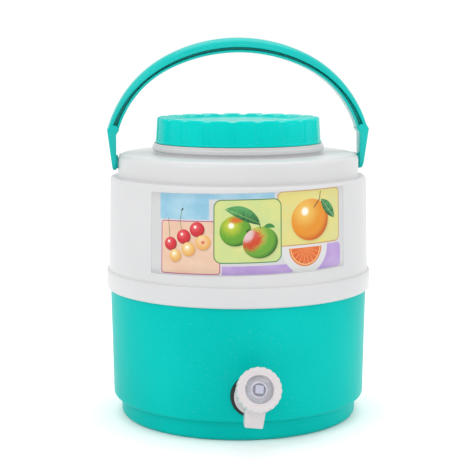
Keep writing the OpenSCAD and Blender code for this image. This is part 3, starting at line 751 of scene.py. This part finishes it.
# %% Washer and ring nut
RING_RADIUS = 19.7
RING_BACK, RING_FRONT = 35.8, 47.8
WINDOW = 13.0
RIM_FACE = 42.4
SCALLOPS = 22
SCALLOP_HEIGHT = 1.0
SCALLOP_START = 18.4

bm = outline_mesh([(8.1, SEAL_SEAT, 0.3), (SEAL_RADIUS, SEAL_SEAT, 0.5),
                   (SEAL_RADIUS, SEAL_FACE, 0.9), (8.1, SEAL_FACE, 0.3)])
spin_outline(bm, 96)
bmesh.ops.transform(bm, matrix=shank_out, verts=bm.verts)
piece("tap_washer", bm, black_rubber, "jug", ["tap_outer_seal"])

bm = outline_mesh([(18.5, RING_BACK, 0.3), (19.5, RING_BACK, 0.4), (RING_RADIUS, 37.0, 0.3),
                   (RING_RADIUS, 46.2, 0.4), (19.0, RING_FRONT, 0.8), (16.4, RING_FRONT, 0.4),
                   (15.6, RING_FRONT - 0.5, 0.3), (14.2, RING_FRONT - 0.4, 0.4),
                   (13.6, RING_FRONT, 0.4), (WINDOW, 47.2, 0.4), (WINDOW, RIM_FACE, 0.3),
                   (18.5, RIM_FACE, 0.3)])
spin_outline(bm, SCALLOPS * 16)
step = 2 * math.pi / SCALLOPS
for v in bm.verts:
    radius = math.hypot(v.co.x, v.co.y) / MM
    if radius < SCALLOP_START or v.co.z / MM < RING_BACK + 0.2:
        continue
    away = abs((math.atan2(v.co.y, v.co.x) + step / 2) % step - step / 2) / step * 2
    crest = (SCALLOP_HEIGHT * math.sqrt(max(0.0, 1 - away * away))
             * min(1.0, (radius - SCALLOP_START) / 0.9))
    v.co.x *= (radius + crest) / radius
    v.co.y *= (radius + crest) / radius
bmesh.ops.transform(bm, matrix=barrel, verts=bm.verts)
ring_nut = piece("tap_ring_nut_moulding", bm, tap_white, "jug", ["tap_ring_nut"],
                 smooth=40)
print("ring nut", len(ring_nut.data.polygons), "faces")

# %% [markdown]
# The body is a cup on a short tube, joined to the collared shank and to the spout. The water's way
# out is drilled last: a wide bore in the spout's end and a narrower throat above it.

# %% Body and spout
SPOUT_TOP, SPOUT_BOTTOM = 3.0, -21.0
BORE_RADIUS = 5.5
THROAT_RADIUS = 4.7
BORE_OUT = 27.5

bm = outline_mesh([(0, 23.0, 0), (8.0, 23.0, 0.3), (8.0, 3.2, 0.3), (10.5, 3.2, 0.6),
                   (10.5, 22.5, 1.5), (18.4, 29.0, 1.5), (18.4, 41.5, 0.4), (16.2, 41.5, 0.4),
                   (16.2, 29.5, 1.5), (11, 25.4, 1.5), (0, 25.4, 0)], closed=False)
spin_outline(bm, 96)
bmesh.ops.transform(bm, matrix=barrel, verts=bm.verts)
body = piece("tap_body_moulding", bm, tap_white, "jug", ["tap_body"], smooth=32)

bm = bmesh.new()
bmesh.ops.create_cube(bm, size=1.0)
for v in bm.verts:
    top = v.co.z > 0
    half_x = 10.0 if top else 8.5
    near, far = (20.0, 35.0) if top else (21.0, 34.0)
    v.co = Vector((math.copysign(half_x, v.co.x), -SEAL_FACE - (near if v.co.y > 0 else far),
                   SPOUT_TOP if top else SPOUT_BOTTOM)) * MM
upright = [e for e in bm.edges if abs(e.verts[0].co.z - e.verts[1].co.z) > 10 * MM]
round_edges(bm, upright, 2.4, 5)
foot = [e for e in bm.edges if all(v.co.z < (SPOUT_BOTTOM + 0.1) * MM for v in e.verts)]
round_edges(bm, foot, 0.7, 3)
bmesh.ops.transform(bm, matrix=shank, verts=bm.verts)
spout = piece("spout_tool", bm, tap_white, None)

bm = outline_mesh([(SHANK_RADIUS, 91.9, 0.6), (SHANK_RADIUS, SEAL_FACE, 0.2),
                   (17.0, SEAL_FACE, 0.3), (17.0, SEAL_FACE + 3, 1.0),
                   (BORE_RADIUS, SEAL_FACE + 3, 0.2), (BORE_RADIUS, 91.9, 0.6)])
spin_outline(bm, 96)
bmesh.ops.transform(bm, matrix=shank_out, verts=bm.verts)
collar = piece("collar_tool", bm, tap_white, None)
shape(body, "UNION", [collar, spout], smooth=32)
bore = shank @ Matrix.Translation((0, -(SEAL_FACE + BORE_OUT) * MM, 0))
shape(body, "DIFFERENCE", [
    rod("spout_bore", BORE_RADIUS, SPOUT_BOTTOM - 1, SPOUT_BOTTOM + 13, bore),
    rod("spout_throat", THROAT_RADIUS, SPOUT_BOTTOM + 12, 4, bore)], smooth=32)
print("tap body", len(body.data.polygons), "faces")

# %% [markdown]
# ## The button and its diaphragm
# The diaphragm is one skin: its rim is held by the nut and its middle moves with the button. It has
# one ripple, which lets the skin stretch, and a raised collar round a small well. The square button
# stands in that well on a disc of its own plastic.

# %% Diaphragm and button
SKIN_TOP = 44.5
BUTTON_HALF = 3.7
BUTTON_TOP = 47.5
WELL_RADIUS = 5.6
WELL_FLOOR = 43.1
SKIN_BACK = 41.5

bm = outline_mesh([(18.0, SKIN_BACK, 0.3), (18.0, RIM_FACE, 0.2), (12.6, RIM_FACE, 0.2),
                   (11.2, 42.6, 0.3), (10.2, 43.0, 0.4), (9.2, 43.0, 0.4), (8.3, 44.0, 0.5),
                   (7.4, SKIN_TOP, 0.4), (6.2, SKIN_TOP, 0.3), (WELL_RADIUS, 43.9, 0.2),
                   (WELL_RADIUS, WELL_FLOOR, 0.1), (6.3, WELL_FLOOR, 0.2), (7.3, 44.0, 0.3),
                   (8.0, 43.5, 0.4), (9.1, 42.6, 0.4), (10.1, 42.6, 0.4), (11.1, 42.2, 0.3),
                   (12.5, SKIN_BACK, 0.2)])
spin_outline(bm, 96)
bmesh.ops.transform(bm, matrix=barrel, verts=bm.verts)
diaphragm = piece("tap_diaphragm_skin", bm, silicone, None)
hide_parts("tap_diaphragm")
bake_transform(diaphragm)
print("diaphragm", len(diaphragm.data.polygons), "faces")

bm = bmesh.new()
bmesh.ops.create_cube(bm, size=1.0)
for v in bm.verts:
    side = BUTTON_HALF if v.co.z > 0 else BUTTON_HALF + 0.3
    v.co = Vector((math.copysign(side, v.co.x), math.copysign(side, v.co.y),
                   BUTTON_TOP if v.co.z > 0 else 40.8)) * MM
corners = [e for e in bm.edges if abs(e.verts[0].co.z - e.verts[1].co.z) > 1 * MM]
round_edges(bm, corners, 0.9, 4)
rim = [e for e in bm.edges if all(v.co.z > (BUTTON_TOP - 0.1) * MM for v in e.verts)]
round_edges(bm, rim, 0.5, 3)
bmesh.ops.create_cone(bm, cap_ends=True, cap_tris=False, segments=32, radius1=2.2 * MM,
                      radius2=2.2 * MM, depth=25 * MM, matrix=Matrix.Translation((0, 0, 29 * MM)))
bmesh.ops.create_cone(bm, cap_ends=True, cap_tris=False, segments=64,
                      radius1=(WELL_RADIUS - 0.1) * MM, radius2=(WELL_RADIUS - 0.1) * MM,
                      depth=1.9 * MM, matrix=Matrix.Translation((0, 0, 41.95 * MM)))
bmesh.ops.transform(bm, matrix=barrel, verts=bm.verts)
button = piece("tap_button_moulding", bm, button_white, "tap_button",
               ["tap_plunger"])
print("button", len(button.data.polygons), "faces")

# %% [markdown]
# ## The label's film
# The label is a thin smooth film stuck round the front of the upper shell. A flat grid is cut to its
# size, given a UV map while it is flat, and then wrapped on the cone of the wall. Because the picture
# reads that UV map, it isn't stretched by the wrapping.

# %% Label film
LABEL_WIDTH = 202.0
LABEL_HEIGHT = 76.0
LABEL_MIDDLE = 198.0
LABEL_TILT = math.radians(1.2)
LABEL_RADIUS = 129.0
WALL_FOOT, WALL_SLOPE = 129.9, 2.2 / 89.0
FILM_LIFT = 0.2

bm = bmesh.new()
bm.loops.layers.uv.new("label")
bmesh.ops.create_grid(bm, x_segments=120, y_segments=6, size=0.5, calc_uvs=True)
for v in bm.verts:
    turn = v.co.x * LABEL_WIDTH / LABEL_RADIUS
    sideways_rise = LABEL_RADIUS * math.sin(turn) * math.tan(LABEL_TILT)
    z = LABEL_MIDDLE + v.co.y * LABEL_HEIGHT + sideways_rise
    radius = WALL_FOOT - WALL_SLOPE * (z - BAND_TOP) + FILM_LIFT
    v.co = Vector((radius * math.sin(turn), -radius * math.cos(turn), z)) * MM
bmesh.ops.recalc_face_normals(bm, faces=bm.faces)
if sum(f.normal.y for f in bm.faces) > 0:
    bmesh.ops.reverse_faces(bm, faces=bm.faces)
print("label grid", len(bm.faces), "faces")

# %% [markdown]
# ## The label's picture
# The print is three fruit panels on blocks of sky blue and lavender. Every shape is a distance: it is
# negative inside and positive outside, so one small step from 1 to 0 gives a clean printed edge, and
# a band around 0 gives a border. Layers are laid one over another as a printer would. The picture
# holds fruit only, and no words or marks.

# %% Shapes for the print
film, shader, wire = new_material("label_film_print")
uv = wire.node("UVMap", {"uv_map": "label"})
across = (uv.part(0) - 0.5) * LABEL_WIDTH
up = (uv.part(1) - 0.5) * LABEL_HEIGHT
EDGE = 0.35
BORDER = 0.9
INK_STRENGTH = 0.74


def inside(distance):
    """1 inside a shape and 0 outside it, with a soft edge."""
    return (0.5 - distance / EDGE).clamp()


def length(x, y):
    return wire.math("SQRT", x * x + y * y)


def turned_axes(x, y, degrees):
    """How far along and across each point lies from x, y, in axes turned by degrees."""
    c, s = math.cos(math.radians(degrees)), math.sin(math.radians(degrees))
    dx, dy = across - x, up - y
    return dx * c + dy * s, dy * c - dx * s


def oval(x, y, half_x, half_y, degrees=0):
    """0 at the middle and 1 at the rim."""
    dx, dy = turned_axes(x, y, degrees)
    return length(dx / half_x, dy / half_y)


def block(x, y, half_x, half_y, corner=0.1, degrees=0):
    """Distance from a block with round corners."""
    dx, dy = turned_axes(x, y, degrees)
    qx = wire.math("ABSOLUTE", dx) - (half_x - corner)
    qy = wire.math("ABSOLUTE", dy) - (half_y - corner)
    outside = length(wire.math("MAXIMUM", qx, 0.0), wire.math("MAXIMUM", qy, 0.0))
    return outside + wire.math("MINIMUM", wire.math("MAXIMUM", qx, qy), 0.0) - corner


def stroke(x0, y0, x1, y1, width):
    """Distance from a straight stroke between two points."""
    return block((x0 + x1) / 2, (y0 + y1) / 2, math.hypot(x1 - x0, y1 - y0) / 2, width / 2,
                 width / 2, math.degrees(math.atan2(y1 - y0, x1 - x0)))


def leaf(x0, y0, x1, y1, left_bulge, right_bulge):
    """Distance from a leaf, which is where two discs cross. It bulges to each side of its chord."""
    chord = math.hypot(x1 - x0, y1 - y0)
    sides = []
    for side, bulge in ((1, left_bulge), (-1, right_bulge)):
        radius = (chord ** 2 / 4 + bulge ** 2) / (2 * bulge)
        shift = side * (bulge - radius) / chord
        x, y = (x0 + x1) / 2 - (y1 - y0) * shift, (y0 + y1) / 2 + (x1 - x0) * shift
        sides.append(length(across - x, up - y) - radius)
    return wire.math("MAXIMUM", *sides)


def ink(red, green, blue):
    """A printed colour, held back so that it reads true under the studio's bright sky."""
    return tuple(c * INK_STRENGTH for c in srgb(red, green, blue)[:3]) + (1.0,)


fine = noise(wire, uv.node("Mapping", None, {"Vector": uv, "Scale": (60.0, 24.0, 1.0)}), 1.0, 3.0)
broad = noise(wire, uv.node("Mapping", None, {"Vector": uv, "Scale": (9.0, 4.0, 1.0)}), 1.0, 3.0)


def panel_print(art, distance, pale, deep, border):
    """A coloured block with a mottled ground and a thin border."""
    ground = broad.ramp(0.3, 0.7).tint(pale, deep)
    art = inside(distance).tint(art, ground)
    return inside(wire.math("ABSOLUTE", distance) - BORDER / 2).tint(art, border)


def fruit(art, x, y, half_x, half_y, shine, pale, full, deep, degrees=0):
    """A round fruit, light where the shine is and deep at the far side, with a soft shadow."""
    q = oval(x, y, half_x, half_y, degrees)
    shadow = oval(x + 0.8, y - 1.2, half_x * 1.06, half_y * 1.06, degrees)
    art = (shadow.ramp(1.05, 0.85) * 0.35).tint(art, (0.25, 0.2, 0.1, 1.0))
    lit = length(across - shine[0], up - shine[1]) / max(half_x, half_y)
    skin = (lit * 0.95 + (fine - 0.5) * 0.25).ramp(0.15, 0.85).tint(pale, full)
    skin = (lit + (q - 0.8) * 0.6).ramp(0.95, 1.6).tint(skin, deep)
    spot = lit.ramp(0.26, 0.08) * 0.75
    skin = spot.tint(skin, (0.95, 0.93, 0.88, 1.0))
    return inside((q - 1) * min(half_x, half_y)).tint(art, skin)


print("print shapes ready")

# %% [markdown]
# The blocks of plain colour go down first, then the half slice. The cherries come next, each with a
# shadow, a shine and a deeper far side.

# %% Ground blocks, half slice and cherries
art = broad.tint(ink(216, 216, 217), ink(219, 219, 220))
sky_ground = broad.ramp(0.25, 0.75).tint(ink(146, 200, 226), ink(178, 218, 236))
art = inside(block(-65, 26, 25, 12)).tint(art, sky_ground)
art = inside(block(-34.6, 35.3, 55.4, 2.5)).tint(art, sky_ground)
lavender = broad.ramp(0.3, 0.7).tint(ink(184, 152, 216), ink(200, 172, 226))
art = inside(block(5, -33.1, 33, 4.1, 0.3)).tint(art, lavender)
art = inside(block(77, -25.5, 18, 11.5, 4)).tint(art, lavender)

SLICE_X, SLICE_Y, SLICE_R = 52.4, -15.0, 17.6
from_slice = length(across - SLICE_X, up - SLICE_Y)
art = inside(from_slice - 24.5).tint(art, ink(228, 228, 228))
spoke = wire.math("ARCTAN2", up - SLICE_Y, across - SLICE_X) * (9 / math.pi)
between_spokes = wire.math("PINGPONG", spoke, 0.5) * 2
flesh = (fine * 0.7 + from_slice / SLICE_R * 0.3).ramp(0.2, 0.8).tint(
    ink(240, 130, 66), ink(226, 96, 40))
flesh = (between_spokes.ramp(0.22, 0.02) * 0.75).tint(flesh, ink(248, 190, 130))
rind = from_slice.ramp(SLICE_R - 2.6, SLICE_R - 1.8).tint(flesh, ink(250, 205, 140))
rind = from_slice.ramp(SLICE_R - 1.5, SLICE_R - 1.0).tint(rind, ink(226, 112, 28))
slice_shape = wire.math("MAXIMUM", from_slice - SLICE_R, up - SLICE_Y)
art = inside(slice_shape).tint(art, rind)

art = panel_print(art, block(-59, -11.9, 29, 24.4, 2.5), ink(242, 208, 182), ink(238, 196, 168),
                  ink(196, 92, 140))
STEM = ink(120, 130, 60)
art = inside(stroke(-80.6, 15.2, -79.0, -4.0, 0.6)).tint(art, STEM)
art = inside(stroke(-66.6, 23.0, -68.4, 12.0, 0.6)).tint(art, STEM)
art = inside(stroke(-68.4, 12.0, -66.0, 2.0, 0.6)).tint(art, STEM)
art = inside(stroke(-65.2, 24.6, -67.0, 22.0, 1.3)).tint(art, ink(60, 60, 30))
for x, y, size in ((-78.2, -8.8, 6.5), (-64.7, -1.9, 7.0), (-51.5, 5.0, 7.2)):
    art = fruit(art, x, y, size, size * 0.96, (x - 1.8, y + 2.2), ink(236, 92, 96),
                ink(214, 46, 58), ink(130, 16, 36))
for x, y, size in ((-73.3, -19.6, 6.2), (-60.0, -13.4, 6.9), (-45.8, -6.9, 7.3)):
    art = fruit(art, x, y, size, size * 0.95, (x - 1.2, y + 1.8), ink(250, 226, 168),
                ink(242, 186, 104), ink(214, 120, 60))
cut_face = oval(-45.8, -6.9, 4.6, 4.2)
art = (cut_face.ramp(1.0, 0.8) * 0.8).tint(art, ink(250, 196, 150))
art = (cut_face.ramp(0.45, 0.3) * 0.9).tint(art, ink(222, 110, 64))
print("cherries and slice printed")

# %% [markdown]
# The orange's pores are a fine cell pattern, and the green fruit's blush is a broken patch of red that
# is kept inside its skin. The middle panel is printed last, because it lies over both of the others.

# %% Orange and green fruit panels
ORANGE = (57.8, 10.4, 20.6, 19.4)
LEFT_FRUIT = (-15.6, 3.4, 14.6, 14.0)
RIGHT_FRUIT = (7.4, -7.6, 16.4, 14.6)
RIGHT_TILT = 10
LEAF_CHORD = (69.6, 28.6, 86.8, 9.6)

art = panel_print(art, block(58.6, 12.8, 34.6, 25.0, 5), ink(236, 222, 132), ink(226, 222, 150),
                  ink(206, 146, 84))
art = fruit(art, *ORANGE, (51.5, 18.4), ink(246, 196, 92), ink(238, 152, 40),
            ink(206, 92, 20))
pores = fine.node("TexVoronoi", None, {"Vector": uv.node(
    "Mapping", None, {"Vector": uv, "Scale": (150.0, 56.0, 1.0)}), "Scale": 1.0})
art = (inside((oval(*ORANGE) - 1) * 19) * pores.ramp(0.3, 0.0) * 0.16).tint(
    art, ink(190, 90, 10))
art = inside(stroke(61.5, 21.3, 68.2, 29.0, 1.0)).tint(art, ink(96, 70, 40))
art = inside(stroke(68.2, 29.0, 69.2, 36.4, 0.9)).tint(art, ink(96, 70, 40))
LEAF_DARK, LEAF_LIGHT = ink(18, 92, 52), ink(92, 168, 96)
blade = inside(leaf(*LEAF_CHORD, 5.6, 4.4))
vein = inside(wire.math("ABSOLUTE", stroke(*LEAF_CHORD, 0.2)) - 0.3)
art = blade.tint(art, (fine * 0.5 + broad * 0.5).ramp(0.35, 0.65).tint(LEAF_DARK, LEAF_LIGHT))
art = (blade * vein * 0.8).tint(art, ink(150, 200, 150))

art = panel_print(art, block(-4.2, 3.0, 31.2, 29.0, 7), ink(224, 228, 146), ink(206, 224, 150),
                  ink(50, 128, 76))
GREEN_PALE, GREEN_FULL, GREEN_DEEP = ink(196, 208, 60), ink(104, 168, 48), ink(28, 96, 38)
art = fruit(art, *LEFT_FRUIT, (-19.5, 8.6), GREEN_PALE, GREEN_FULL, GREEN_DEEP)
blush = oval(-15.0, 13.6, 7.6, 3.6, 4)
left_skin = inside((oval(*LEFT_FRUIT) - 1) * 14)
art = (blush.ramp(1.25, 0.3) * left_skin * 0.85).tint(art, ink(228, 96, 40))
art = (oval(-3.2, 2.8, 3.2, 2.8).ramp(1.1, 0.5) * 0.8).tint(art, ink(30, 60, 24))
blade = inside(leaf(-25.2, 23.4, 7.4, 8.4, 9.4, 2.4))
art = blade.tint(art, (fine * 0.6 + (up - 8) / 40).ramp(0.3, 0.75).tint(LEAF_DARK, LEAF_LIGHT))
midrib = inside(stroke(-24.0, 23.8, 7.0, 10.0, 0.5))
art = (blade * midrib * 0.7).tint(art, ink(166, 210, 120))
art = fruit(art, *RIGHT_FRUIT, (2.5, -1.8), ink(214, 214, 96), ink(110, 172, 56),
            ink(24, 92, 40), RIGHT_TILT)
right_skin = inside((oval(*RIGHT_FRUIT, RIGHT_TILT) - 1) * 14.6)
red_side = (oval(0.0, -5.6, 12.5, 9.6, 38) + (fine - 0.5) * 0.7).ramp(1.15, 0.5)
art = (red_side * right_skin * 0.95).tint(art, ink(214, 58, 36))
bloom = (oval(-4.2, -1.0, 6.0, 8.0, -38) + (fine - 0.5) * 0.7).ramp(1.1, 0.4)
art = (bloom * right_skin * 0.8).tint(art, ink(240, 214, 216))
art = inside(leaf(10.5, 6.4, 21.0, 5.6, 3.6, 0.4)).tint(art, ink(62, 142, 70))
art = inside(stroke(6.6, 8.6, 7.4, 5.6, 0.7)).tint(art, ink(80, 70, 40))
print("fruit panels printed")

# %% [markdown]
# A printed film is a little smoother than the wall under it. The ink lies on it a hair thick, so the
# picture's brightness gives a very slight bump.

# %% Finish the film
ink_height = art.node("RGBToBW", None, {0: art}) + fine * 0.3
bump = wire.node("Bump", None, {"Strength": 0.08, "Distance": 0.0002, "Height": ink_height})
feed(wire, shader, Base_Color=art, Roughness=((broad - 0.5) * 0.08 + 0.3).clamp(), Normal=bump)
shader.inputs["Specular IOR Level"].default_value = 0.3
label = piece("label_film", bm, film, "jug", ["label"])
film_wall = label.modifiers.new("thickness", "SOLIDIFY")
film_wall.thickness = 0.16 * MM
film_wall.offset = -1
print("label", len(label.data.polygons), "faces")

# %% [markdown]
# ## The pieces that stay as they are
# The tank, its seals and the parts inside the walls already have their true shape, so they keep the
# frame's own meshes. They only get their materials.

# %% Materials for the inner pieces
carried = {
    "inner_tank": tank_white, "lid_pan": tank_white, "insulation_foam": foam, "lid_foam": foam,
    "fill_plug": teal_shell, "lid_gasket": gasket_rubber, "tap_inner_seal": black_rubber,
    "tap_lock_nut": tap_white, "valve_seal": black_rubber}
for name, material in carried.items():
    slots = nodes[name].data.materials
    if not slots:
        slots.append(material)
    for i in range(len(slots)):
        slots[i] = material
print("inner pieces", sorted(carried))

# %% Finish
bpy.context.view_layer.update()
